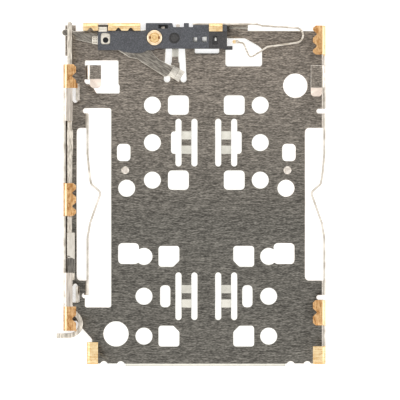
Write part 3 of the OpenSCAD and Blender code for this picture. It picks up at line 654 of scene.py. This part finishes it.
# The rod's top gets a painted dark reflection on its slope in front of the shoe, then a painted highlight on
# the shoe, over these ranges of y in millimetres.
ROD_DARK_REFLECTION, ROD_SHOE_HIGHLIGHT = (-5.3, -4.35), (-4.35, -2.5)
# the z of a normal, from which a face belongs to the rod's top
ROD_TOP = 0.5


class READER_OT_rod(bpy.types.Operator):
    """Finishes the push rod, with a painted highlight on its shoe and a painted dark reflection in front of
    it
    """
    bl_idname = "reader.rod"
    bl_label = "Push Rod"

    def execute(self, context):
        colours = context.scene.reader_colours
        rod = softened_copy("push_rod", "rod", context.scene.reader_sizes.strip_edge,
                            [(ALONG_Y, end) for end in ROD_DARK_REFLECTION + ROD_SHOE_HIGHLIGHT])
        lengthwise = math.radians(90)
        finishes = {
            "ground": ground_strip("ground_rod", opaque(colours.rod_dark), opaque(colours.rod_pale),
                                   lengthwise, 0.1),
            # the shoe's painted highlight, and the painted dark reflection in front of it
            "paler": ground_strip("rod_shoe_painted_highlight", linear("#cfc8bc"), linear("#ddd7cc"), lengthwise, 0.14),
            "dark_reflection": ground_strip("rod_painted_dark_reflection", linear("#5a5751"), linear("#827d76"), lengthwise, 0.1),
        }

        def choose(x, y, z, normal):
            if normal.z > ROD_TOP and ROD_DARK_REFLECTION[0] < y < ROD_DARK_REFLECTION[1]:
                return "dark_reflection"
            return "paler" if normal.z > ROD_TOP and ROD_SHOE_HIGHLIGHT[0] < y < ROD_SHOE_HIGHLIGHT[1] else "ground"

        give_finishes(rod, finishes, choose)
        return {"FINISHED"}


# The stage, in metres and watts: the camera's height and the width of its sensor in millimetres, the floor's
# side and how far it lies below the reader, and the soft boxes' side, power, and distance out and up.
CAMERA_HEIGHT, SENSOR_WIDTH = 0.4, 36
FLOOR_SIDE, FLOOR_BELOW = 2, 0.002 * MM
BOX_SIDE, BOX_POWER, BOX_AWAY, BOX_UP = 0.13, 0.058, 0.125, 0.09
# the floor glows this much where it is seen, and the world lights the reader at this level, but is seen at 1
FLOOR_GLOW, WORLD_LEVEL = 0.6, 0.35


def seen_directly(tree):
    """A node that is 1 for rays of the camera, of gloss and through glass, and 0 for those that light."""
    path = add(tree, "LightPath")
    seen = add(tree, "Math", {0: path.outputs["Is Camera Ray"], 1: path.outputs["Is Glossy Ray"]},
               operation="MAXIMUM")
    return add(tree, "Math", {0: seen, 1: path.outputs["Is Transmission Ray"]}, operation="MAXIMUM")


class READER_OT_stage(bpy.types.Operator):
    """Sets the camera over the reader, with a pale floor and soft light"""
    bl_idname = "reader.stage"
    bl_label = "Stage"

    def execute(self, context):
        scene = context.scene
        scene.view_settings.view_transform = "Standard"
        camera_data = bpy.data.cameras.new("camera")
        camera = bpy.data.objects.new("camera", camera_data)
        scene.collection.objects.link(camera)
        camera_data.sensor_width = SENSOR_WIDTH
        camera_data.lens = SENSOR_WIDTH * CAMERA_HEIGHT / (PIXELS_ACROSS / PIXELS_PER_MM * MM)
        camera_data.clip_start = 0.01
        camera.location = (VIEW_CENTRE[0] * MM, VIEW_CENTRE[1] * MM, CAMERA_HEIGHT)
        scene.camera = camera

        bpy.ops.object.select_all(action="DESELECT")
        bpy.ops.mesh.primitive_plane_add(size=FLOOR_SIDE, location=(0, 0, -FLOOR_BELOW))
        floor = context.active_object
        floor.name = "floor"
        material, tree = new_material("pale_floor")
        matt = add(tree, "BsdfDiffuse", {"Color": linear("#f4f4f4")})
        strength = add(tree, "Math", {0: seen_directly(tree), 1: FLOOR_GLOW}, operation="MULTIPLY")
        glow = add(tree, "Emission", {"Color": (1, 1, 1, 1), "Strength": strength})
        finish_material(tree, add(tree, "AddShader", {0: matt, 1: glow}))
        floor.data.materials.append(material)

        world = bpy.data.worlds.new("plain_studio")
        scene.world = world
        world.use_nodes = True
        world.node_tree.nodes.clear()
        level = add(world.node_tree, "MapRange", {"Value": seen_directly(world.node_tree),
                                                  "To Min": WORLD_LEVEL, "To Max": 1.0})
        sky = add(world.node_tree, "Background", {"Color": (1, 1, 1, 1), "Strength": level})
        add(world.node_tree, "OutputWorld", {"Surface": sky})

        # four soft boxes low round the reader, so that bends and ramps catch light and flat faces don't
        for name, x, y in (("front", 0, -1), ("rear", 0, 1), ("left", -1, 0), ("right", 1, 0)):
            light = bpy.data.lights.new("softbox_" + name, "AREA")
            light.shape = "SQUARE"
            light.size = BOX_SIDE
            light.energy = BOX_POWER
            lamp = bpy.data.objects.new("softbox_" + name, light)
            scene.collection.objects.link(lamp)
            lamp.location = (x * BOX_AWAY, y * BOX_AWAY, BOX_UP)
            lamp.rotation_mode = "QUATERNION"
            lamp.rotation_quaternion = Vector(lamp.location).to_track_quat("Z", "Y")
        return {"FINISHED"}


class READER_PT_panel(bpy.types.Panel):
    """Lists the reader's steps in the sidebar"""
    bl_label = "Card Tray Reader"
    bl_idname = "READER_PT_panel"
    bl_space_type = "VIEW_3D"
    bl_region_type = "UI"
    bl_category = "Reader"

    def draw(self, context):
        for step in STEPS:
            self.layout.operator(step.bl_idname)
        for group in (context.scene.reader_sizes, context.scene.reader_colours):
            column = self.layout.column(align=True)
            for name in group.__annotations__:
                column.prop(group, name)


STEPS = (READER_OT_stage, READER_OT_shell, READER_OT_housing, READER_OT_contacts, READER_OT_lever,
         READER_OT_rivet, READER_OT_rod)
CLASSES = (ReaderSizes, ReaderColours, *STEPS, READER_PT_panel)


def register():
    for each in CLASSES:
        bpy.utils.register_class(each)
    bpy.types.Scene.reader_sizes = bpy.props.PointerProperty(type=ReaderSizes)
    bpy.types.Scene.reader_colours = bpy.props.PointerProperty(type=ReaderColours)


def unregister():
    del bpy.types.Scene.reader_colours
    del bpy.types.Scene.reader_sizes
    for each in reversed(CLASSES):
        bpy.utils.unregister_class(each)


def main():
    register()
    bpy.ops.reader.stage()
    bpy.ops.reader.shell()
    bpy.ops.reader.housing()
    bpy.ops.reader.contacts()
    bpy.ops.reader.lever()
    bpy.ops.reader.rivet()
    bpy.ops.reader.rod()


if __name__ == "__main__":
    main()
